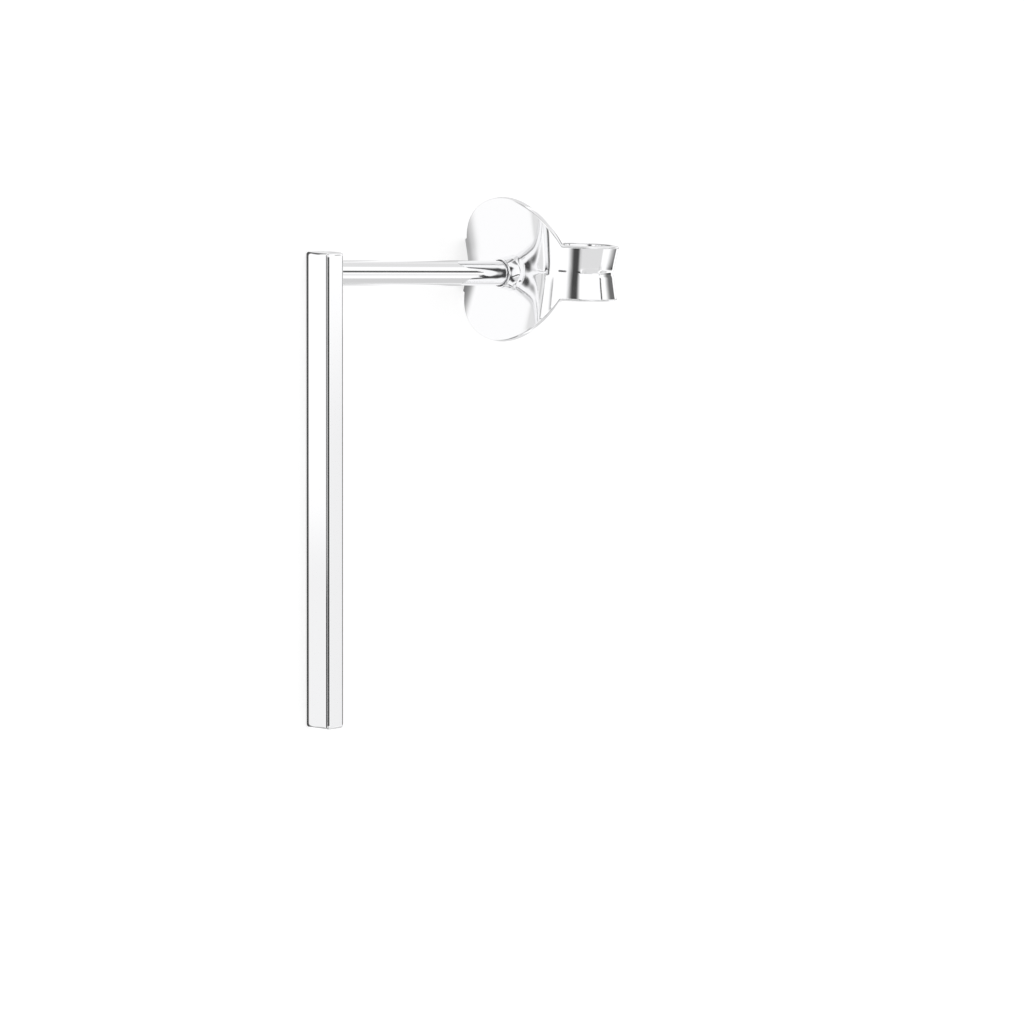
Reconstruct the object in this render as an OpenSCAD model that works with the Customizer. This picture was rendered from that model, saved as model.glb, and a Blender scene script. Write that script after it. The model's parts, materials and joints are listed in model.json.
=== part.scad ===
// Bar stud earring with a push-on butterfly clutch.
// It lies on its side, as it does on a table: one long edge of the bar and one scroll of the
// clutch touch the surface. The bar runs along X with its top end towards -X, the post points
// towards +Y, and the origin is below the middle of the whole earring.

/* [Bar] */
// Length of the bar
bar_len = 16; // [12:0.5:24]
// Width of the bar's front face
bar_w = 1.1; // [0.95:0.05:1.6]
// Depth of the bar, from front to back
bar_d = 0.75; // [0.6:0.05:1.2]
// Radius that rounds the bar's edges
bar_edge = 0.1; // [0.06:0.01:0.2]

/* [Post] */
// Diameter of the post
post_dia = 0.85; // [0.7:0.01:0.9]
// Distance from the bar's top end down to the post's axis
post_drop = 0.7; // [0.6:0.05:4]
// Length of the post, from the back of the bar to its tip
post_len = 11.3; // [11:0.1:14]
// Angle by which the post leans down from square to the bar
post_lean = 3; // [0:0.5:5]
// Length of the worn groove in the post under the clutch
notch_len = 0.65; // [0.6:0.05:0.9]
// Depth of that groove
notch_depth = 0.07; // [0.04:0.01:0.12]

/* [Clutch plate] */
// Gap between the back of the bar and the clutch's collar
lobe_gap = 7.8; // [5:0.1:8]
// Thickness of the clutch's sheet metal
sheet = 0.24; // [0.18:0.01:0.28]
// Diameter of the round plate
plate_dia = 4.92; // [4.2:0.02:5.6]
// Distance from the post's axis up to the middle of the clutch's sheet
sheet_rise = 0.13; // [0:0.01:0.2]
// Radius to which the plate's middle is bowed, seen from above
flat_r = 15; // [10:0.5:30]
// Radius to which the plate's sides and the arms are bent back
bend_r = 1.95; // [1.7:0.05:2.5]
// Angle of each half of the sheet to its fold line
fold_angle = 11; // [6:0.5:13]
// Radius that softens the fold line
fold_soft = 0.2; // [0.1:0.02:0.4]

/* [Clutch collar] */
// Height of the collar in front of the plate
collar_h = 0.4; // [0.25:0.01:0.6]
// Diameter of the collar's foot
collar_foot_dia = 1.3; // [1.2:0.02:1.5]
// Thickness of the collar's lip
collar_lip = 0.06; // [0.05:0.01:0.08]
// Gap between the collar's hole and the post
hole_gap = 0.03; // [0.02:0.005:0.05]

/* [Clutch scrolls] */
// Width of the sheet in the scrolls
arm_w = 1.88; // [1.4:0.02:2]
// Radius of each scroll's outer turn
turn_r = 1.1; // [0.9:0.05:1.2]
// Radius of each scroll's side
side_r = 2; // [1.6:0.1:2.4]
// Radius of each scroll's turn back towards the plate
end_r = 0.45; // [0.4:0.05:0.6]
// Angle by which each scroll's end flares away from the post
flare_angle = 20; // [10:5:30]
// Gap between each scroll and the post
grip_gap = 0.03; // [0.02:0.005:0.05]

/* [Hidden] */
// Facets of a full turn, and height steps in half a width of sheet
turn_facets = 128;
fold_steps = 8;
// How far each height step crowds towards the fold line
step_crowding = 1.6;
// Length that a cutting shape runs past what it cuts
past = 1;
// How far the groove starts inside the collar
notch_inset = 0.05;
// How far each stretch of the sheet starts inside the one before it, and how much thinner it is
splice_angle = 2;
splice_step = 0.003;
// Turns the collar so that its surfaces start away from the fold line
seam_angle = 40;
// Radius of the flared end of each scroll
flare_r = 0.5;
// Headings at which the sheet's stretches end, in degrees from +X towards +Y
flat_end = 5;
bend_end = 46;
turn_end = 105;
side_end = 168;
end_end = 226;
back_end = 270;

post_r = post_dia / 2;
post_z = bar_len - post_drop;
hole_r = post_r + hole_gap;
plate_r = plate_dia / 2;
arm_half = arm_w / 2;
// Distance along the post from the bar's axis to the middle of the sheet at its fold line
seat_y = bar_d / 2 + lobe_gap + collar_h + sheet / 2;

// The sheet's path seen from above, from the fold line's middle: the plate's flat middle, the
// bend of its side and arm, then the scroll's outer turn, its side, its turn back, the stretch
// that comes back along the post, and the flare. All turn the same way.
function next_centre(centre, r, next_r, heading) = centre + (r - next_r) * [sin(heading), -cos(heading)];

bend_centre = next_centre([0, flat_r], flat_r, bend_r, flat_end);
turn_centre = next_centre(bend_centre, bend_r, turn_r, bend_end);
side_centre = next_centre(turn_centre, turn_r, side_r, turn_end);
end_centre = next_centre(side_centre, side_r, end_r, side_end);
grip_x = post_r + grip_gap + sheet / 2;
back_r = (end_centre.x + end_r * sin(end_end) - grip_x) / (1 + sin(end_end));
back_centre = next_centre(end_centre, end_r, back_r, end_end);
flare_centre = next_centre(back_centre, back_r, flare_r, back_end);

// How far the sheet stands out from its fold line at a height z
function fold(z) = tan(fold_angle) * (sqrt(z ^ 2 + fold_soft ^ 2) - fold_soft);

// The scroll's reach from its turn's centre and from its side's, at its edges
turn_reach = turn_r + sheet / 2 + fold(arm_half);
side_reach = side_r + sheet / 2 + fold(arm_half);

// The resting pose: the earring turns about the bar until a scroll is as low as the bar's edge
rest_x = turn_centre.x - (bar_w / 2 - bar_edge);
rest_y = (seat_y + turn_centre.y) * cos(post_lean) - (arm_half - sheet_rise) * sin(post_lean)
    + bar_d / 2 - bar_edge;
rest_tilt = atan(rest_x / rest_y) + asin((turn_reach - bar_edge) / norm([rest_x, rest_y]));
bar_corner_x = bar_w / 2 - bar_edge;
bar_corner_y = bar_d / 2 - bar_edge;
lift = bar_corner_x * cos(rest_tilt) + bar_corner_y * sin(rest_tilt) + bar_edge;

// Half-way along and across the whole earring
rim_z = sheet_rise + plate_r;
rim_y = seat_y - fold(plate_r) - sheet / 2;
plate_top = post_z + rim_z * cos(post_lean) - rim_y * sin(post_lean);
middle_x = max(plate_top, bar_len) / 2;
tip_y = (bar_d / 2 + post_len - post_r) * cos(post_lean) * cos(rest_tilt) + post_r;
side_y = (seat_y + side_centre.y) * cos(post_lean) + (arm_half + sheet_rise) * sin(post_lean);
scroll_y = side_y * cos(rest_tilt) + side_centre.x * sin(rest_tilt) + side_reach;
front_y = -bar_corner_x * sin(rest_tilt) - bar_corner_y * cos(rest_tilt) - bar_edge;
middle_y = (front_y + max(tip_y, scroll_y)) / 2;

// Lays down what is drawn upright: bar along Z, front face towards -Y
module lying()
    translate([middle_x, -middle_y, lift])
        rotate([rest_tilt, 0, 0])
            rotate([0, -90, 0])
                children();

// Puts what is drawn along +Y on the post's axis
module on_post()
    translate([0, 0, post_z])
        rotate([-post_lean, 0, 0])
            children();

// A rectangle with round corners, standing on its bottom edge's middle
module rounded_rect(w, h, r) {
    translate([-w / 2 + r, 0])
        square([w - 2 * r, h]);
    translate([-w / 2, r])
        square([w, h - 2 * r]);
    for (x = [-w / 2 + r, w / 2 - r], y = [r, h - r])
        translate([x, y])
            circle(r, $fn = turn_facets);
}

// The bar, with its long edges and both ends rounded
module bar() {
    intersection() {
        translate([0, -bar_d / 2, 0])
            linear_extrude(bar_len)
                rounded_rect(bar_w, bar_d, bar_edge);
        rotate([90, 0, 0])
            linear_extrude(bar_d + past, center = true)
                rounded_rect(bar_w, bar_len, bar_edge);
        rotate([90, 0, 90])
            linear_extrude(bar_w + past, center = true)
                rounded_rect(bar_d, bar_len, bar_edge);
    }
}

// The post from the bar's axis to its round tip, with the groove under the clutch
module post() {
    length = bar_d / 2 + post_len;
    groove_r = (notch_len ^ 2 / 4 + notch_depth ^ 2) / (2 * notch_depth);
    groove_y = bar_d / 2 + lobe_gap + notch_inset + notch_len / 2;
    rotate([-90, 0, 0])
        rotate_extrude($fn = turn_facets)
            intersection() {
                difference() {
                    union() {
                        square([post_r, length - post_r]);
                        translate([0, length - post_r])
                            circle(post_r, $fn = turn_facets);
                    }
                    translate([post_r + groove_r - notch_depth, groove_y])
                        circle(groove_r, $fn = turn_facets * 8);
                }
                square([post_r, length]);
            }
}

module bar_and_post()
    color("silver")
        lying() {
            bar();
            on_post()
                post();
        }

// The folded sheet's section: x is its distance from a turn's centre, y its height
module sheet_section(r, half_w, thinner) {
    half_t = sheet / 2 - thinner;
    top = half_w - thinner;
    steps = [for (i = [-fold_steps : fold_steps]) top * sign(i) * abs(i / fold_steps) ^ step_crowding];
    polygon(concat(
        [for (z = steps) [r + fold(z) + half_t, z]],
        [for (i = [len(steps) - 1 : -1 : 0]) [r + fold(steps[i]) - half_t, steps[i]]]
    ));
}

// A stretch of the sheet that turns about a centre, between two angles seen from above
module sheet_turn(centre, from, to, r, half_w, thinner = 0)
    translate([centre.x, centre.y, 0])
        rotate([0, 0, from])
            rotate_extrude(angle = to - from, $fn = turn_facets)
                sheet_section(r, half_w, thinner);

// One of the two bends, with room for the plate's round outline to be cut from it
module bend()
    sheet_turn(bend_centre, flat_end - 90 - splice_angle, bend_end - 90, bend_r, plate_r + past,
        thinner = splice_step);

// The round plate with the roots of both arms, bent and folded, and open behind the collar
module plate()
    intersection() {
        union() {
            sheet_turn([0, flat_r], -90 - flat_end, -90 + flat_end, flat_r, plate_r + past);
            bend();
            mirror([1, 0, 0])
                bend();
        }
        rotate([90, 0, 0])
            linear_extrude(4 * plate_r, center = true)
                difference() {
                    union() {
                        circle(plate_r, $fn = turn_facets);
                        square([4 * plate_r, arm_w], center = true);
                    }
                    translate([0, -sheet_rise])
                        rotate(seam_angle)
                            circle(hole_r + collar_lip, $fn = turn_facets);
                }
    }

// A stretch of the scroll, which starts a little inside the one before it and is a hair
// thinner, so that the sheet is one piece
module scroll_turn(centre, from, to, r, place)
    sheet_turn(centre, from - 90 - splice_angle, to - 90, r, arm_half, thinner = place * splice_step);

module scroll() {
    scroll_turn(turn_centre, bend_end, turn_end, turn_r, 2);
    scroll_turn(side_centre, turn_end, side_end, side_r, 3);
    scroll_turn(end_centre, side_end, end_end, end_r, 4);
    scroll_turn(back_centre, end_end, back_end, back_r, 5);
    scroll_turn(flare_centre, back_end, back_end + flare_angle, flare_r, 6);
}

// The collar that guides the post: a drawn cone with a round lip, rooted in the sheet
module collar() {
    lip_r = collar_lip / 2;
    reach = sheet / 2 + collar_h - lip_r;
    rotate([90, seam_angle, 0])
        rotate_extrude($fn = turn_facets) {
            polygon([[hole_r, 0], [collar_foot_dia / 2, 0], [hole_r + collar_lip, reach], [hole_r, reach]]);
            translate([hole_r + lip_r, reach])
                circle(lip_r, $fn = 32);
        }
}

module butterfly_clutch()
    color("gainsboro")
        lying()
            on_post()
                translate([0, seat_y, 0]) {
                    collar();
                    translate([0, 0, sheet_rise]) {
                        plate();
                        scroll();
                        mirror([1, 0, 0])
                            scroll();
                    }
                }

bar_and_post();
butterfly_clutch();
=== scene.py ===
"""Bar stud earring with a push-on butterfly clutch, lying on its side on a light table.

Pieces are drawn upright in millimetres, with the bar along Z, its front face towards -Y and the
post along +Y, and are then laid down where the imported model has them.
"""

import json
import math

import bmesh
import bpy
from mathutils import Matrix, Vector


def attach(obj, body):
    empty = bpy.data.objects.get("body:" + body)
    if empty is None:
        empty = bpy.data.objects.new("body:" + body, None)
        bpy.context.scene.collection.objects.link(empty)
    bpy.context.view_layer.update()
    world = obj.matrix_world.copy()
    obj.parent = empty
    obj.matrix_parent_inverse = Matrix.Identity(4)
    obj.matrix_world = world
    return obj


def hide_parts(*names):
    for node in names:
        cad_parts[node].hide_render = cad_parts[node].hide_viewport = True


bl_info = {
    "name": "Bar stud earring",
    "version": (1, 0, 0),
    "blender": (4, 5, 0),
    "location": "3D View > Sidebar > Bar stud",
    "description": "Models a bar stud earring with its butterfly clutch on a light table",
    "category": "Object",
}

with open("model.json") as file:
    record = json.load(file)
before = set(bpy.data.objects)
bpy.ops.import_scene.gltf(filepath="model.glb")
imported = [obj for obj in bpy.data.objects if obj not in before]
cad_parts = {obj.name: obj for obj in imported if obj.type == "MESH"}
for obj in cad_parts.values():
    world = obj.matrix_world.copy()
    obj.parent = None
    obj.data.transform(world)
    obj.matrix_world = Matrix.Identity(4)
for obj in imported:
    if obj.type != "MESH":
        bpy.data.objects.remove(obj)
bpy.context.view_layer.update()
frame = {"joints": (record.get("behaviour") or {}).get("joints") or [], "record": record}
MM = 0.001
UP = Vector((0, 0, 1))
# Lengths shorter than this, in millimetres, count as none, and heights are compared to as many digits
TINY = 1e-5
DIGITS = 5

# How finely the shapes are divided
EDGE_SEGMENTS = 8
RIM_SEGMENTS = 3
ROUND_STEPS = 128
WAVE_STEPS = 24
SHANK_STEPS = 40
SHEET_TURNS = 480
SHEET_RINGS = 40
ARM_STEPS = 130
LIP_STEPS = 8
COLLAR_STEPS = 12
TABLE_SEGMENTS = 96

# The camera's sensor and the nearest thing that it shows, in millimetres
SENSOR_WIDTH = 36
NEAR_LIMIT = 10


def millimetres(name, default, description):
    """A size in millimetres that a user can change."""
    return bpy.props.FloatProperty(name=name, default=default, min=0, precision=3, description=description)


def degrees(name, default, description):
    """An angle that a user can change."""
    return bpy.props.FloatProperty(
        name=name, default=math.radians(default), subtype="ANGLE", description=description
    )


def share(name, default, description):
    """A plain number that a user can change."""
    return bpy.props.FloatProperty(name=name, default=default, precision=3, description=description)


def colour(name, default, description):
    """A colour, given as an sRGB hex value and kept as one."""
    return bpy.props.StringProperty(name=name, default=default, description=description)


class StudSizes(bpy.types.PropertyGroup):
    bar_length: millimetres("Bar length", 16, "Length of the bar")
    bar_width: millimetres("Bar width", 1.1, "Width of the bar's front face")
    bar_depth: millimetres("Bar depth", 0.75, "Depth of the bar from front to back")
    bar_edge: millimetres("Edge radius", 0.1, "Radius that rounds the bar's edges")
    end_loop: millimetres("End loop", 0.14, "From each end to a loop that keeps the edges' shading level")
    post_diameter: millimetres("Post diameter", 0.85, "Diameter of the post")
    post_length: millimetres("Post length", 11.3, "From the back of the bar to the post's tip")
    post_drop: millimetres("Post drop", 0.7, "From the bar's top end down to the post's axis")
    notch_start: millimetres("Groove start", 7.85, "From the back of the bar to the post's groove")
    notch_length: millimetres("Groove length", 0.65, "Length of the worn groove")
    notch_depth: millimetres("Groove depth", 0.07, "Depth of the worn groove")


class ClutchSizes(bpy.types.PropertyGroup):
    lobe_gap: millimetres("Lobe gap", 7.8, "From the back of the bar to the collar's lip")
    sheet: millimetres("Sheet", 0.24, "Thickness of the sheet metal")
    plate_diameter: millimetres("Plate diameter", 4.92, "Diameter of the round plate")
    sheet_rise: millimetres("Sheet rise", 0.13, "From the post's axis up to the middle of the sheet")
    flat_radius: millimetres("Flat radius", 15, "Radius to which the plate's middle is bowed")
    bend_radius: millimetres("Bend radius", 1.95, "Radius to which the plate's sides are bent back")
    fold_angle: degrees("Fold angle", 11, "Angle of each half of the sheet to its fold line")
    fold_soft: millimetres("Fold softness", 0.2, "Radius that softens the fold line")
    collar_height: millimetres("Collar height", 0.4, "How far the collar stands in front of the plate")
    collar_foot: millimetres("Collar foot", 1.3, "Diameter of the collar's foot")
    collar_lip: millimetres("Collar lip", 0.06, "Thickness of the collar's lip")
    hole_gap: millimetres("Hole gap", 0.03, "Gap between the collar and the post")
    arm_width: millimetres("Arm width", 1.88, "Width of the sheet in the scrolls")
    turn_radius: millimetres("Turn radius", 1.1, "Radius of each scroll's outer turn")
    side_radius: millimetres("Side radius", 2, "Radius of each scroll's side")
    end_radius: millimetres("End radius", 0.45, "Radius of each scroll's turn back")
    flare_radius: millimetres("Flare radius", 0.5, "Radius of each scroll's flared end")
    flat_end: degrees("Flat end", 5, "Heading of the sheet where its flat middle ends")
    bend_end: degrees("Bend end", 46, "Heading where the bend of the plate's side ends")
    turn_end: degrees("Turn end", 105, "Heading where the outer turn ends")
    side_end: degrees("Side end", 168, "Heading where the scroll's side ends")
    back_start: degrees("Back start", 226, "Heading where the scroll's way back to the post starts")
    flare: degrees("Flare", 20, "Angle by which each scroll's end flares")
    grip_gap: millimetres("Grip gap", 0.03, "Gap between each scroll and the post")
    bend_ease: millimetres("Bend ease", 0.15, "Half the length in which one bend eases into the next")
    rim_edge: millimetres("Rim edge", 0.045, "Width that softens the sheet's cut edges")
    rim_angle: degrees("Rim angle", 50, "Angle between two faces past which their edge is a cut edge")
    ring_radius: millimetres("Ring radius", 1.1, "Radius of the faint ring pressed round the collar")
    ring_depth: millimetres("Ring depth", 0.004, "How far that ring stands out")
    ring_width: millimetres("Ring half width", 0.13, "Half width of that ring")
    groove_start: millimetres("Groove start", 3.0, "Along the sheet to the groove in each arm")
    groove_width: millimetres("Groove half width", 0.12, "Half width of that groove")
    groove_depth: millimetres("Groove depth", 0.035, "Depth of that groove")


class SilverLook(bpy.types.PropertyGroup):
    tone: colour("Silver", "#F6F6F7", "Reflected colour of polished sterling silver")
    polish: share("Polish", 0.05, "Roughness of the hand-polished bar and post")
    sheet_polish: share("Sheet polish", 0.07, "Roughness of the tumbled sheet")
    wear_size: millimetres("Wear size", 0.6, "Size of the spots in which wear changes the gloss")
    wear: share("Wear", 0.3, "How far wear changes the roughness, as a share of it")


class StageLook(bpy.types.PropertyGroup):
    table: colour("Table", "#FFFFFF", "Colour of the light table")
    table_radius: millimetres("Table radius", 600, "Radius of the light table")
    table_glow: share("Table glow", 0.72, "Strength of the light that comes up through the table")
    table_white: share("Table white", 0.42, "Share of the light falling on the table that it throws back")
    # Height above the table of the sheet that carries the painted reflections
    painted_reflection_lift: millimetres("Mirrored lift", 0.004, "From the table up to what is mirrored of it")
    white: colour("White", "#FFFFFF", "Colour of the light tent's white walls")
    brightness: share("Brightness", 1.12, "Radiance of the light tent's white walls")
    azimuth: degrees("Camera azimuth", 45.2, "From the bar's front face round to the side it shows")
    elevation: degrees("Camera elevation", 6.49, "Above the post, towards the bar's top end")
    roll: degrees("Camera roll", 0.17, "Turn of the picture")
    distance: millimetres("Camera distance", 215, "From the camera to the middle of the picture")
    view_width: millimetres("View width", 34.71, "Width that the picture shows there")
    aim_back: millimetres("Aim back", 4.2, "From the bar's middle along the post to the point aimed at")
    aim_right: millimetres("Aim right", 3.277, "How far the picture's middle lies right of that point")
    aim_down: millimetres("Aim down", 1.038, "How far the picture's middle lies below that point")


def linear(hex_colour):
    """An sRGB hex value as linear red, green, blue and alpha."""
    parts = [int(hex_colour[i : i + 2], 16) / 255 for i in (1, 3, 5)]
    return [c / 12.92 if c <= 0.04045 else ((c + 0.055) / 1.055) ** 2.4 for c in parts] + [1.0]


def rest_pose():
    """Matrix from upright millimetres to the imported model's metres, and the post's lean."""
    axis = Vector(frame["joints"][0]["axis"]).normalized()
    lean = math.asin(axis.x)
    tilt = math.atan2(axis.z, axis.y)
    turn = Matrix(((0, 0, -1), (-math.sin(tilt), math.cos(tilt), 0), (math.cos(tilt), math.sin(tilt), 0)))
    stud = bpy.context.scene.stud_sizes
    mount = frame["record"]["mounts"][0]
    middle = stud.bar_depth / 2 + mount["dims"]["length_mm"] / 2
    place = Vector(mount["pos_m"]) - turn @ (post_frame(lean, stud) @ Vector((0, middle, 0))) * MM
    return Matrix.Translation(place) @ turn.to_4x4() @ Matrix.Scale(MM, 4), lean


def post_frame(lean, stud):
    """Matrix from the post's own frame, with its axis along Y, to the upright one."""
    return Matrix.Translation((0, 0, stud.bar_length - stud.post_drop)) @ Matrix.Rotation(-lean, 4, "X")


def add_node(material, kind, settings=None, inputs=None):
    """Adds a node with its settings, and sets or links its inputs."""
    tree = material.node_tree
    node = tree.nodes.new(kind)
    for name, value in (settings or {}).items():
        setattr(node, name, value)
    for name, value in (inputs or {}).items():
        if isinstance(value, bpy.types.NodeSocket):
            tree.links.new(value, node.inputs[name])
        else:
            node.inputs[name].default_value = value
    return node


def new_material(name):
    """An empty node material with its output."""
    material = bpy.data.materials.new(name)
    material.use_nodes = True
    material.node_tree.nodes.clear()
    return material, add_node(material, "ShaderNodeOutputMaterial")


def polished_silver(name, roughness, wave_length, wave_depth):
    """Sterling silver, polished: a near-white mirror with slightly uneven gloss.

    Long shallow waves, with their length and depth in millimetres, bend a little what it mirrors.
    """
    look = bpy.context.scene.silver_look
    material, output = new_material(name)
    place = add_node(material, "ShaderNodeTexCoord").outputs["Object"]
    wear = add_node(
        material,
        "ShaderNodeTexNoise",
        inputs={"Vector": place, "Scale": 1 / (look.wear_size * MM), "Detail": 4.0, "Roughness": 0.6},
    )
    gloss = add_node(
        material,
        "ShaderNodeMapRange",
        inputs={
            "Value": wear.outputs["Fac"],
            "To Min": roughness * (1 - look.wear),
            "To Max": roughness * (1 + look.wear),
        },
    )
    waves = add_node(
        material,
        "ShaderNodeTexNoise",
        inputs={"Vector": place, "Scale": 1 / (wave_length * MM), "Detail": 2.0},
    )
    bump = add_node(
        material,
        "ShaderNodeBump",
        inputs={"Height": waves.outputs["Fac"], "Distance": wave_depth * MM, "Strength": 1.0},
    )
    shader = add_node(
        material,
        "ShaderNodeBsdfPrincipled",
        inputs={
            "Base Color": linear(look.tone),
            "Metallic": 1.0,
            "Roughness": gloss.outputs["Result"],
            "Normal": bump.outputs["Normal"],
        },
    )
    material.node_tree.links.new(shader.outputs["BSDF"], output.inputs["Surface"])
    return material


def finish_piece(name, shape, material, body, node):
    """Turns a finished shape into a piece that rides on a body and stands for a CAD node."""
    mesh = bpy.data.meshes.new(name)
    shape.to_mesh(mesh)
    shape.free()
    mesh.materials.append(material)
    piece = bpy.data.objects.new(name, mesh)
    bpy.context.scene.collection.objects.link(piece)
    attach(piece, body)
    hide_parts(node)
    return piece


def smooth(shape):
    """Merges doubles, points all faces outwards and shades them smooth."""
    bmesh.ops.remove_doubles(shape, verts=shape.verts, dist=TINY)
    bmesh.ops.recalc_face_normals(shape, faces=shape.faces)
    for face in shape.faces:
        face.smooth = True


def turned(profile, ring=False):
    """A solid turned about Y from (radius, along) points, on a closed ring or from axis to axis."""
    shape = bmesh.new()
    points = [shape.verts.new((radius, along, 0)) for radius, along in profile]
    following = points[1:] + points[:1] if ring else points[1:]
    edges = [shape.edges.new(pair) for pair in zip(points, following)]
    bmesh.ops.spin(
        shape,
        geom=points + edges,
        cent=(0, 0, 0),
        axis=(0, 1, 0),
        angle=math.tau,
        steps=ROUND_STEPS,
        use_merge=True,
    )
    smooth(shape)
    return shape


class EARRING_OT_bar(bpy.types.Operator):
    """Make the bar: a slim rectangular rod with softened edges"""

    bl_idname = "earring.bar"
    bl_label = "Bar"

    def execute(self, context):
        stud = context.scene.stud_sizes
        pose, _ = rest_pose()
        shape = bmesh.new()
        bmesh.ops.create_cube(shape, size=1)
        bmesh.ops.scale(shape, verts=shape.verts, vec=(stud.bar_width, stud.bar_depth, stud.bar_length))
        bmesh.ops.translate(shape, verts=shape.verts, vec=(0, 0, stud.bar_length / 2))
        bmesh.ops.bevel(
            shape,
            geom=shape.edges,
            offset=stud.bar_edge,
            offset_type="OFFSET",
            affect="EDGES",
            segments=EDGE_SEGMENTS,
            profile=0.5,
            material=-1,
        )
        for height in (stud.end_loop, stud.bar_length - stud.end_loop):
            bmesh.ops.bisect_plane(
                shape,
                geom=shape.verts[:] + shape.edges[:] + shape.faces[:],
                plane_co=(0, 0, height),
                plane_no=UP,
            )
        smooth(shape)
        shape.transform(pose)
        # Buffed flat, so it mirrors the most evenly of the three
        silver = polished_silver(
            "sterling_silver_polished_bar",
            context.scene.silver_look.polish,
            wave_length=2,
            wave_depth=0.0004,
        )
        bar = finish_piece("bar", shape, silver, "stud", "bar_and_post")
        # The wide faces decide the shading, so that they stay flat up to their rounded edges
        flat = bar.modifiers.new("flat_faces", "WEIGHTED_NORMAL")
        flat.mode = "FACE_AREA"
        flat.weight = 100
        return {"FINISHED"}


class EARRING_OT_post(bpy.types.Operator):
    """Make the post: a drawn wire with a round tip and a worn groove under the clutch"""

    bl_idname = "earring.post"
    bl_label = "Post"

    def execute(self, context):
        stud = context.scene.stud_sizes
        pose, lean = rest_pose()
        radius = stud.post_diameter / 2
        back = stud.bar_depth / 2
        end = back + stud.post_length
        start = back + stud.notch_start
        wave = [i / WAVE_STEPS for i in range(WAVE_STEPS + 1)]
        profile = [(0, 0), (radius, 0)]
        profile += [(radius, back + stud.notch_start * i / SHANK_STEPS) for i in range(SHANK_STEPS)]
        profile += [
            (radius - stud.notch_depth * math.sin(math.pi * t) ** 2, start + stud.notch_length * t)
            for t in wave
        ]
        profile += [
            (radius * math.cos(math.pi / 2 * t), end - radius + radius * math.sin(math.pi / 2 * t))
            for t in wave[:-1]
        ]
        profile += [(0, end)]
        shape = turned(profile)
        shape.transform(pose @ post_frame(lean, stud))
        # Drawn through a die, so its waves are short
        silver = polished_silver(
            "sterling_silver_drawn_wire",
            context.scene.silver_look.polish,
            wave_length=1.2,
            wave_depth=0.0005,
        )
        finish_piece("post", shape, silver, "stud", "bar_and_post")
        return {"FINISHED"}


class SheetPath:
    """Half of the clutch's sheet seen from above, as points and headings at even steps of its length."""

    step = 0.01

    def __init__(self, sizes, post_radius):
        grip = post_radius + sizes.grip_gap + sizes.sheet / 2
        along_post = math.radians(270)
        heading = 0
        place = Vector((0, 0))
        self.bends = []
        for radius, end in (
            (sizes.flat_radius, sizes.flat_end),
            (sizes.bend_radius, sizes.bend_end),
            (sizes.turn_radius, sizes.turn_end),
            (sizes.side_radius, sizes.side_end),
            (sizes.end_radius, sizes.back_start),
            (None, along_post),
            (sizes.flare_radius, along_post + sizes.flare),
        ):
            if radius is None:
                # The bend that ends beside the post
                radius = (place.x - grip) / (1 + math.sin(heading))
            self.bends.append((radius * (end - heading), 1 / radius))
            place += radius * Vector(
                (math.sin(end) - math.sin(heading), math.cos(heading) - math.cos(end))
            )
            heading = end
        self.length = sum(length for length, _ in self.bends)
        self.ease = sizes.bend_ease
        heading = 0
        place = Vector((0, 0))
        self.points = [(place.copy(), heading)]
        for i in range(round(self.length / self.step) + 1):
            heading += self.bend((i + 0.5) * self.step) * self.step
            place += Vector((math.cos(heading), math.sin(heading))) * self.step
            self.points.append((place.copy(), heading))

    def bend(self, along):
        """Curvature at a length along the sheet, eased from each stretch to the next."""
        start = 0
        bend = self.bends[0][1]
        for (length, _), (_, after) in zip(self.bends, self.bends[1:]):
            start += length
            t = min(max((along - start) / (2 * self.ease) + 0.5, 0), 1)
            bend += (after - bend) * t * t * (3 - 2 * t)
        return bend

    def along(self, across, out):
        """Length at which the sheet, a distance out from its fold line, is that far across the plate."""
        low = 0
        high = next(i for i, (_, turn) in enumerate(self.points) if turn > math.pi / 2)
        while high - low > 1:
            middle = (low + high) // 2
            point, turn = self.points[middle]
            if point.x + out * math.sin(turn) < across:
                low = middle
            else:
                high = middle
        (a, turn_a), (b, turn_b) = self.points[low], self.points[high]
        start = a.x + out * math.sin(turn_a)
        end = b.x + out * math.sin(turn_b)
        return (low + (across - start) / (end - start)) * self.step

    def at(self, along):
        """Point and front normal at a length along the sheet, mirrored for a negative one."""
        far = abs(along) / self.step
        i = min(int(far), len(self.points) - 2)
        (a, turn_a), (b, turn_b) = self.points[i : i + 2]
        point = a.lerp(b, far - i)
        turn = turn_a + (turn_b - turn_a) * (far - i)
        side = math.copysign(1, along)
        return (
            Vector((side * point.x, point.y, 0)),
            Vector((side * math.sin(turn), -math.cos(turn), 0)),
        )


def fold(sizes, height):
    """How far the sheet stands out from its fold line at a height."""
    soft = sizes.fold_soft
    return math.tan(sizes.fold_angle) * (math.hypot(height, soft) - soft)


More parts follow.
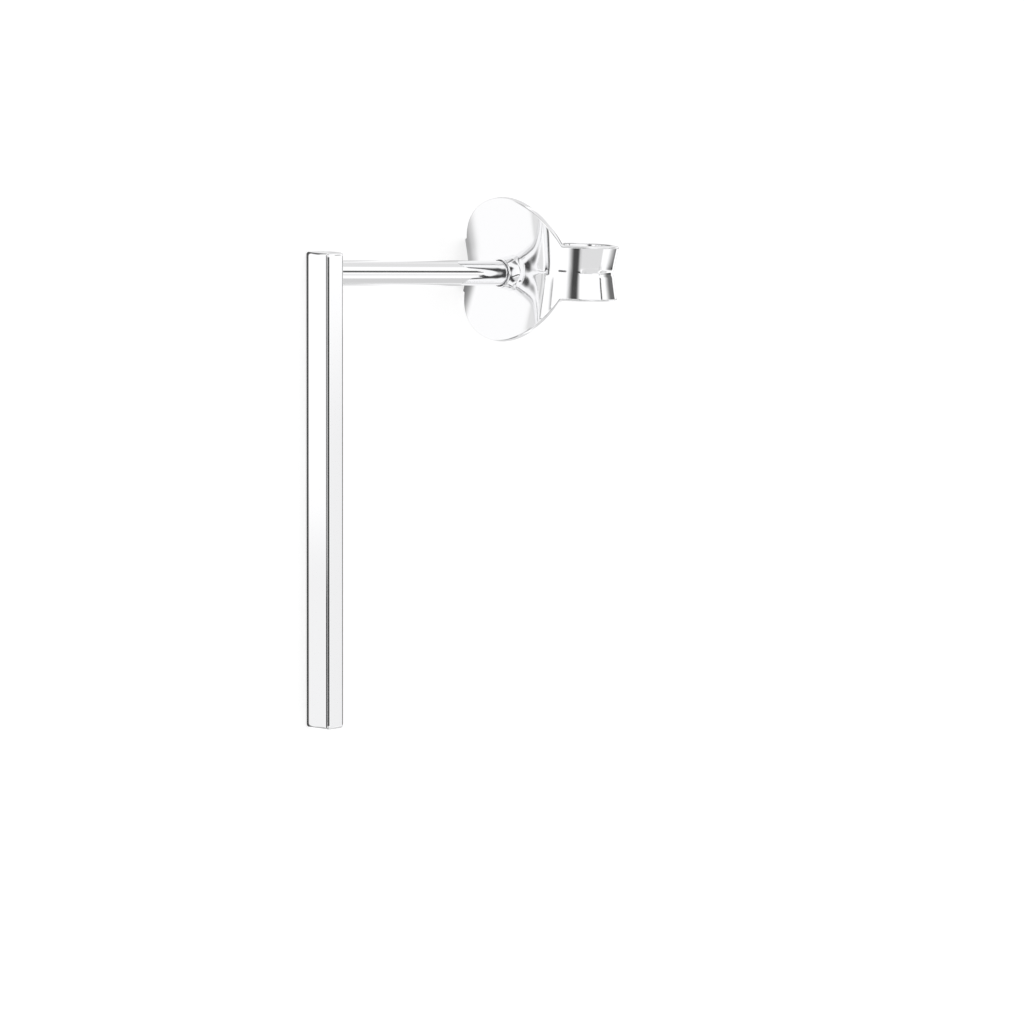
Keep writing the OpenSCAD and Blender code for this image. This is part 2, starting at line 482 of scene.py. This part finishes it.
def blank_sheet(sizes, path):
    """The blank in the XZ plane: a pierced disc with an arm on either side, X measured along the sheet."""
    shape = bmesh.new()
    inner = bpy.context.scene.stud_sizes.post_diameter / 2 + sizes.hole_gap + sizes.collar_lip
    outer = sizes.plate_diameter / 2
    arm = sizes.arm_width / 2
    bmesh.ops.create_circle(
        shape,
        cap_ends=False,
        radius=inner,
        segments=SHEET_TURNS,
        matrix=Matrix.Rotation(math.pi / 2, 4, "X"),
    )
    edges = shape.edges[:]
    radius = inner
    for i in range(1, SHEET_RINGS + 1):
        wider = inner + (outer - inner) * i / SHEET_RINGS
        grown = bmesh.ops.extrude_edge_only(shape, edges=edges)["geom"]
        points = [g for g in grown if isinstance(g, bmesh.types.BMVert)]
        bmesh.ops.scale(shape, verts=points, vec=(wider / radius,) * 3)
        edges = [g for g in grown if isinstance(g, bmesh.types.BMEdge) and g.is_boundary]
        radius = wider
    for v in shape.verts:
        v.co.z -= sizes.sheet_rise * (outer - v.co.length) / (outer - inner)
    rim = {v for e in edges for v in e.verts}
    for side in (-1, 1):
        for height in (-arm, arm):
            corner = min((v for v in rim if v.co.x * side > 0), key=lambda v: abs(v.co.z - height))
            corner.co.z = height
            corner.co.x = side * math.sqrt(outer**2 - height**2)
    for v in shape.verts:
        v.co.x = math.copysign(path.along(abs(v.co.x), fold(sizes, v.co.z)), v.co.x)
    for side in (-1, 1):
        root = [e for e in edges if all(abs(v.co.z) < arm + TINY and v.co.x * side > 0 for v in e.verts)]
        start = {round(v.co.z, DIGITS): v.co.x for e in root for v in e.verts}
        for i in range(1, ARM_STEPS + 1):
            grown = bmesh.ops.extrude_edge_only(shape, edges=root)["geom"]
            for v in [g for g in grown if isinstance(g, bmesh.types.BMVert)]:
                first = start[round(v.co.z, DIGITS)]
                v.co.x = first + (side * path.length - first) * i / ARM_STEPS
            root = [
                g
                for g in grown
                if isinstance(g, bmesh.types.BMEdge)
                and abs(g.verts[0].co.z - g.verts[1].co.z) > TINY
                and g.is_boundary
            ]
    return shape


def stamped(sizes, along, height):
    """How far the press has pushed the sheet forwards: a ring round the collar, a groove on each arm."""
    away = (math.hypot(along, height + sizes.sheet_rise) - sizes.ring_radius) / sizes.ring_width
    ring = sizes.ring_depth * math.exp(-(away**2))
    from_end = max(sizes.groove_start - abs(along), 0)
    reach = max(1 - (math.hypot(from_end, height) / sizes.groove_width) ** 2, 0)
    return ring - sizes.groove_depth * math.sqrt(reach)


def bent_sheet(sizes, path):
    """The blank folded, stamped, bowed and rolled along its path, with its thickness and softened rim."""
    shape = blank_sheet(sizes, path)
    for v in shape.verts:
        point, front = path.at(v.co.x)
        out = fold(sizes, v.co.z) + stamped(sizes, v.co.x, v.co.z)
        v.co = point + front * out + UP * v.co.z
    bmesh.ops.recalc_face_normals(shape, faces=shape.faces)
    shape.normal_update()
    # The plate's front faces -Y, so that the thickness grows on the right side
    if min(shape.faces, key=lambda f: f.calc_center_median().length).normal.y > 0:
        bmesh.ops.reverse_faces(shape, faces=shape.faces)
        shape.normal_update()
    for v, half in [(v, v.normal * sizes.sheet / 2) for v in shape.verts]:
        v.co += half
    bmesh.ops.solidify(shape, geom=shape.faces[:], thickness=sizes.sheet)
    smooth(shape)
    bmesh.ops.bevel(
        shape,
        geom=[e for e in shape.edges if e.calc_face_angle(0) > sizes.rim_angle],
        offset=sizes.rim_edge,
        offset_type="OFFSET",
        affect="EDGES",
        segments=RIM_SEGMENTS,
        profile=0.5,
        material=-1,
    )
    for face in shape.faces:
        face.smooth = True
    return shape


def collar_ring(sizes, hole, seat):
    """The collar's section: its hole, a rounded lip in front and a foot that flares into the sheet."""
    lip = sizes.collar_lip / 2
    front = seat - sizes.sheet / 2 - sizes.collar_height + lip
    neck = hole + 2 * lip
    foot = sizes.collar_foot / 2
    ring = [(hole, seat), (hole, front)]
    for i in range(1, LIP_STEPS):
        angle = math.pi * i / LIP_STEPS
        ring.append((hole + lip - lip * math.cos(angle), front - lip * math.sin(angle)))
    ring.append((neck, front))
    for i in range(1, COLLAR_STEPS + 1):
        down = i / COLLAR_STEPS
        ring.append((neck + (foot - neck) * down**2, front + (seat - front) * down))
    return ring


class EARRING_OT_clutch(bpy.types.Operator):
    """Make the butterfly clutch: a pierced disc with two arms, folded, bowed and rolled into scrolls"""

    bl_idname = "earring.clutch"
    bl_label = "Butterfly clutch"

    def execute(self, context):
        stud = context.scene.stud_sizes
        sizes = context.scene.clutch_sizes
        pose, lean = rest_pose()
        place = pose @ post_frame(lean, stud)
        seat = stud.bar_depth / 2 + sizes.lobe_gap + sizes.collar_height + sizes.sheet / 2
        # Rolled, pressed and tumbled, so it mirrors the least evenly of the three
        silver = polished_silver(
            "sterling_silver_sheet",
            context.scene.silver_look.sheet_polish,
            wave_length=1.5,
            wave_depth=0.001,
        )

        sheet = bent_sheet(sizes, SheetPath(sizes, stud.post_diameter / 2))
        sheet.transform(Matrix.Translation((0, seat, sizes.sheet_rise)))
        sheet.transform(place)
        finish_piece("clutch_sheet", sheet, silver, "clutch", "butterfly_clutch")

        hole = stud.post_diameter / 2 + sizes.hole_gap
        collar = turned(collar_ring(sizes, hole, seat), ring=True)
        collar.transform(place)
        finish_piece("clutch_collar", collar, silver, "clutch", "butterfly_clutch")
        return {"FINISHED"}


def light_table(name):
    """Opal acrylic lit from below: an even white glow on which a piece leaves only a faint shadow."""
    stage = bpy.context.scene.stage_look
    material, output = new_material(name)
    own = add_node(
        material,
        "ShaderNodeEmission",
        inputs={"Color": linear(stage.table), "Strength": stage.table_glow},
    )
    lit = add_node(material, "ShaderNodeBsdfDiffuse", inputs={"Color": [stage.table_white] * 3 + [1]})
    both = add_node(material, "ShaderNodeAddShader", inputs={0: own.outputs[0], 1: lit.outputs[0]})
    material.node_tree.links.new(both.outputs[0], output.inputs["Surface"])
    return material


def dimmed(material, level, side, up, patch):
    """Darkens a light level inside a soft-edged patch of two coordinates."""
    masks = []
    for value, middle, half, soft in (
        (side, patch["side"], patch["half_side"], patch["soft_side"]),
        (up, patch["up"], patch["half_up"], patch["soft_up"]),
    ):
        offset = add_node(
            material, "ShaderNodeMath", {"operation": "SUBTRACT"}, {0: value, 1: middle}
        )
        away = add_node(material, "ShaderNodeMath", {"operation": "ABSOLUTE"}, {0: offset.outputs[0]})
        inside = add_node(
            material,
            "ShaderNodeMapRange",
            {"interpolation_type": "SMOOTHSTEP"},
            {
                "Value": away.outputs[0],
                "From Min": half,
                "From Max": half + soft,
                "To Min": 1.0,
                "To Max": 0.0,
            },
        )
        masks.append(inside.outputs[0])
    mask = add_node(material, "ShaderNodeMath", {"operation": "MULTIPLY"}, {0: masks[0], 1: masks[1]})
    kept = add_node(
        material,
        "ShaderNodeMath",
        {"operation": "MULTIPLY_ADD"},
        {0: mask.outputs[0], 1: -patch["darkness"], 2: 1.0},
    )
    return add_node(
        material, "ShaderNodeMath", {"operation": "MULTIPLY"}, {0: level, 1: kept.outputs[0]}
    ).outputs[0]


def patches(rows):
    """Rows of a table of patches as dictionaries."""
    columns = ("side", "up", "half_side", "half_up", "soft_side", "soft_up", "darkness")
    return [dict(zip(columns, row)) for row in rows]


# The light tent's grey and dark parts, in degrees of azimuth and elevation in the upright axes: middles,
# half widths, soft edges and darkness. Each note names what mirrors it most, as the camera sees it.
TENT = patches(
    (
        (47, -5, 4, 27, 14, 7, 0.94),  # round the camera: the arm's outer turn and the sheet by the collar
        (14, -6.4, 12, 2.4, 5, 1.0, 0.95),  # the bar's middle edge
        (135.5, 8.5, 2.2, 4.8, 1.5, 2, 0.9),  # the line along the post
        (134, -11, 6, 5, 4, 2, 0.16),  # the bar's side face, towards its bottom end
        (97, -32, 35, 15, 4, 4, 0.3),  # the upper half of the scroll
        (160, -28, 14, 6, 6, 3, 0.28),  # the post's lower half, near the clutch
        (186, -44, 40, 11, 3, 3, 0.38),  # the post's lower half
        (190, 43, 32, 10, 10, 10, 0.28),  # the post's upper half
        (186, 4, 8, 14, 26, 8, 0.85),  # the scroll's right side
        (177, -6, 35, 3, 3, 2, 0.95),  # the bar's back edge
        (78, -6.4, 22, 2.4, 8, 1.0, 0.95),  # the bar's middle edge
        (20, 66, 80, 14, 10, 10, 0.75),  # narrow edges that face up
        (20, -66, 80, 14, 10, 10, 0.75),  # narrow edges that face down
    )
)
# Painted reflections of shade: dark patches, on a sheet that only the silver's reflections see, that stand
# in for the shade under and beside the pieces and for the dark lines mirrored in the silver, in
# millimetres along the bar and level across it, written in the same way
PAINTED_REFLECTIONS = patches(
    (
        (0.7, -6.03, 8.0, 0.1, 0.8, 0.04, 0.92),  # the edge that the bar lies on
        (1.6, -7.95, 9.4, 0.75, 0.6, 0.2, 0.92),  # the bar's middle edge
        (2.3, -9.9, 10.1, 0.6, 1.0, 1.6, 0.9),  # a thin line on the plate's bent side
        (8.4, -16.1, 3.7, 8.9, 0.6, 0.2, 0.96),  # the bar's middle edge, towards its bottom end
        (7.0, -6.45, 3.0, 0.4, 4.0, 0.2, 0.14),  # the bar's front face, towards its bottom end
        (-7.9, -4.9, 0.8, 1.1, 0.1, 0.1, 0.24),  # the bar's top end and the plate's bent side
        (-8.2, -6.25, 0.75, 0.2, 0.15, 0.12, 0.85),  # the bar's top rim and the plate's bent side
        (9.4, -6.3, 0.3, 0.4, 0.15, 0.15, 0.5),  # the rim of the bar's bottom end
        (-5.3, 3.7, 0.4, 0.4, 0.9, 0.9, 0.6),  # the plate's left side, below the post
        (-7.3, 3.5, 0.4, 0.4, 0.9, 0.9, 0.28),  # the plate's left side, above the post
        (-6.6, 4.0, 4.2, 0.35, 0.8, 0.5, 0.3),  # the plate's left rim
        (-6.0, 13.4, 30.0, 10.0, 2.0, 0.8, 0.28),  # the plate's left side and the post's edges
        (-6.0, 0.6, 5.0, 1.6, 2.0, 1.0, 0.05),  # the plate's face
        (-6.0, -2.9, 5.0, 1.2, 2.0, 0.8, 0.28),  # the plate's face, right of the collar
        (3.9, -1.0, 5.1, 2.8, 0.8, 0.6, 0.8),  # the plate's bottom rim
        (-24.0, -12.0, 8.0, 12.0, 5.0, 2.0, 0.75),  # the sheet right of the collar
        (22.0, -12.0, 8.0, 12.0, 5.0, 2.0, 0.75),  # the plate's lower right rim
    )
)


def painted_reflection_glow(name):
    """Painted reflection: a white glow with soft-edged dark places painted in, which the silver mirrors in
    place of the plain white table.
    """
    stage = bpy.context.scene.stage_look
    material, output = new_material(name)
    place = add_node(material, "ShaderNodeTexCoord").outputs["Object"]
    scaled = add_node(
        material, "ShaderNodeVectorMath", {"operation": "SCALE"}, {0: place, "Scale": 1 / MM}
    )
    axes = add_node(material, "ShaderNodeSeparateXYZ", inputs={0: scaled.outputs[0]})
    # The sheet glows as bright as the tent's white walls, and each patch paints a dark place of shade into
    # that glow
    level = stage.brightness
    for patch in PAINTED_REFLECTIONS:
        level = dimmed(material, level, axes.outputs["X"], axes.outputs["Y"], patch)
    light = add_node(
        material, "ShaderNodeEmission", inputs={"Color": linear(stage.white), "Strength": level}
    )
    material.node_tree.links.new(light.outputs[0], output.inputs["Surface"])
    return material


def table_disc(name, height, material):
    """A level disc as wide as the table, at a height in millimetres."""
    stage = bpy.context.scene.stage_look
    shape = bmesh.new()
    bmesh.ops.create_circle(
        shape, cap_ends=True, radius=stage.table_radius * MM, segments=TABLE_SEGMENTS
    )
    bmesh.ops.translate(shape, verts=shape.verts, vec=(0, 0, height * MM))
    mesh = bpy.data.meshes.new(name)
    shape.to_mesh(mesh)
    shape.free()
    mesh.materials.append(material)
    disc = bpy.data.objects.new(name, mesh)
    bpy.context.scene.collection.objects.link(disc)
    return disc


def light_tent(turn):
    """The tent round the table as a world, with its grey and dark parts set in the turned upright axes."""
    stage = bpy.context.scene.stage_look
    world = bpy.data.worlds.new("light_tent")
    world.use_nodes = True
    world.node_tree.nodes.clear()
    place = add_node(world, "ShaderNodeTexCoord").outputs["Generated"]
    height = add_node(
        world, "ShaderNodeVectorMath", {"operation": "DOT_PRODUCT"}, {0: place, 1: turn @ UP}
    )
    rise = add_node(world, "ShaderNodeMath", {"operation": "ARCSINE"}, {0: height.outputs["Value"]})
    rise = add_node(world, "ShaderNodeMath", {"operation": "DEGREES"}, {0: rise.outputs[0]})
    level = stage.brightness
    for patch in TENT:
        middle = math.radians(patch["side"])
        forward = turn @ Vector((math.sin(middle), -math.cos(middle), 0))
        aside = turn @ Vector((math.cos(middle), math.sin(middle), 0))
        x = add_node(world, "ShaderNodeVectorMath", {"operation": "DOT_PRODUCT"}, {0: place, 1: aside})
        y = add_node(world, "ShaderNodeVectorMath", {"operation": "DOT_PRODUCT"}, {0: place, 1: forward})
        angle = add_node(
            world,
            "ShaderNodeMath",
            {"operation": "ARCTAN2"},
            {0: x.outputs["Value"], 1: y.outputs["Value"]},
        )
        angle = add_node(world, "ShaderNodeMath", {"operation": "DEGREES"}, {0: angle.outputs[0]})
        from_middle = {**patch, "side": 0}
        level = dimmed(world, level, angle.outputs[0], rise.outputs[0], from_middle)
    light = add_node(
        world, "ShaderNodeBackground", inputs={"Color": linear(stage.white), "Strength": level}
    )
    add_node(world, "ShaderNodeOutputWorld", inputs={"Surface": light.outputs[0]})
    return world


def aimed_camera(pose, turn):
    """The camera, set by its azimuth and elevation round the upright earring."""
    stage = bpy.context.scene.stage_look
    stud = bpy.context.scene.stud_sizes
    eye = Vector(
        (
            math.sin(stage.azimuth) * math.cos(stage.elevation),
            -math.cos(stage.azimuth) * math.cos(stage.elevation),
            math.sin(stage.elevation),
        )
    )
    right = Vector((math.cos(stage.azimuth), math.sin(stage.azimuth), 0))
    up = eye.cross(right)
    spin = Matrix.Rotation(stage.roll, 3, eye)
    right, up = spin @ right, spin @ up
    aim = Vector((0, stage.aim_back, stud.bar_length / 2))
    middle = aim + right * stage.aim_right - up * stage.aim_down
    camera = bpy.data.objects.new("camera", bpy.data.cameras.new("camera"))
    camera.data.sensor_width = SENSOR_WIDTH
    camera.data.lens = SENSOR_WIDTH * stage.distance / stage.view_width
    camera.data.clip_start = NEAR_LIMIT * MM
    axes = Matrix((turn @ right, turn @ up, turn @ eye)).transposed()
    camera.matrix_world = Matrix.Translation(pose @ (middle + eye * stage.distance)) @ axes.to_4x4()
    return camera


class EARRING_OT_stage(bpy.types.Operator):
    """Set up the light table, the sheet of painted reflections just above it, the light tent and the
    camera
    """

    bl_idname = "earring.stage"
    bl_label = "Table, light and camera"

    def execute(self, context):
        stage = context.scene.stage_look
        pose, _ = rest_pose()
        turn = pose.to_3x3().normalized()

        table = table_disc("light_table", 0, light_table("acrylic_light_table"))

        # A sheet of painted reflections just above the table: the silver mirrors it, while the camera,
        # shadows and diffuse light pass through it
        mirrored = table_disc("painted_reflection_sheet", stage.painted_reflection_lift, painted_reflection_glow("painted_reflection_sheet"))
        mirrored.visible_camera = False
        mirrored.visible_diffuse = False
        mirrored.visible_shadow = False

        context.scene.world = light_tent(turn)
        context.scene.view_settings.view_transform = "Standard"
        camera = aimed_camera(pose, turn)
        context.scene.collection.objects.link(camera)
        context.scene.camera = camera
        return {"FINISHED"}


class EARRING_PT_panel(bpy.types.Panel):
    """Lists the pieces in the sidebar"""

    bl_idname = "EARRING_PT_panel"
    bl_label = "Bar stud"
    bl_space_type = "VIEW_3D"
    bl_region_type = "UI"
    bl_category = "Bar stud"

    def draw(self, context):
        for step in STEPS:
            self.layout.operator(step)
        for group in GROUPS:
            sizes = getattr(context.scene, group)
            for name in sizes.bl_rna.properties.keys():
                if name not in ("rna_type", "name"):
                    self.layout.prop(sizes, name)


GROUPS = {
    "stud_sizes": StudSizes,
    "clutch_sizes": ClutchSizes,
    "silver_look": SilverLook,
    "stage_look": StageLook,
}
STEPS = ["earring.bar", "earring.post", "earring.clutch", "earring.stage"]
CLASSES = [
    *GROUPS.values(),
    EARRING_OT_bar,
    EARRING_OT_post,
    EARRING_OT_clutch,
    EARRING_OT_stage,
    EARRING_PT_panel,
]


def register():
    """Adds the classes and the scene's sizes and looks."""
    for item in CLASSES:
        bpy.utils.register_class(item)
    for name, group in GROUPS.items():
        setattr(bpy.types.Scene, name, bpy.props.PointerProperty(type=group))


def unregister():
    """Takes them out again."""
    for name in GROUPS:
        delattr(bpy.types.Scene, name)
    for item in reversed(CLASSES):
        bpy.utils.unregister_class(item)


def main():
    """Builds the earring and its stage."""
    register()
    bpy.ops.earring.bar()
    bpy.ops.earring.post()
    bpy.ops.earring.clutch()
    bpy.ops.earring.stage()


if __name__ == "__main__":
    main()
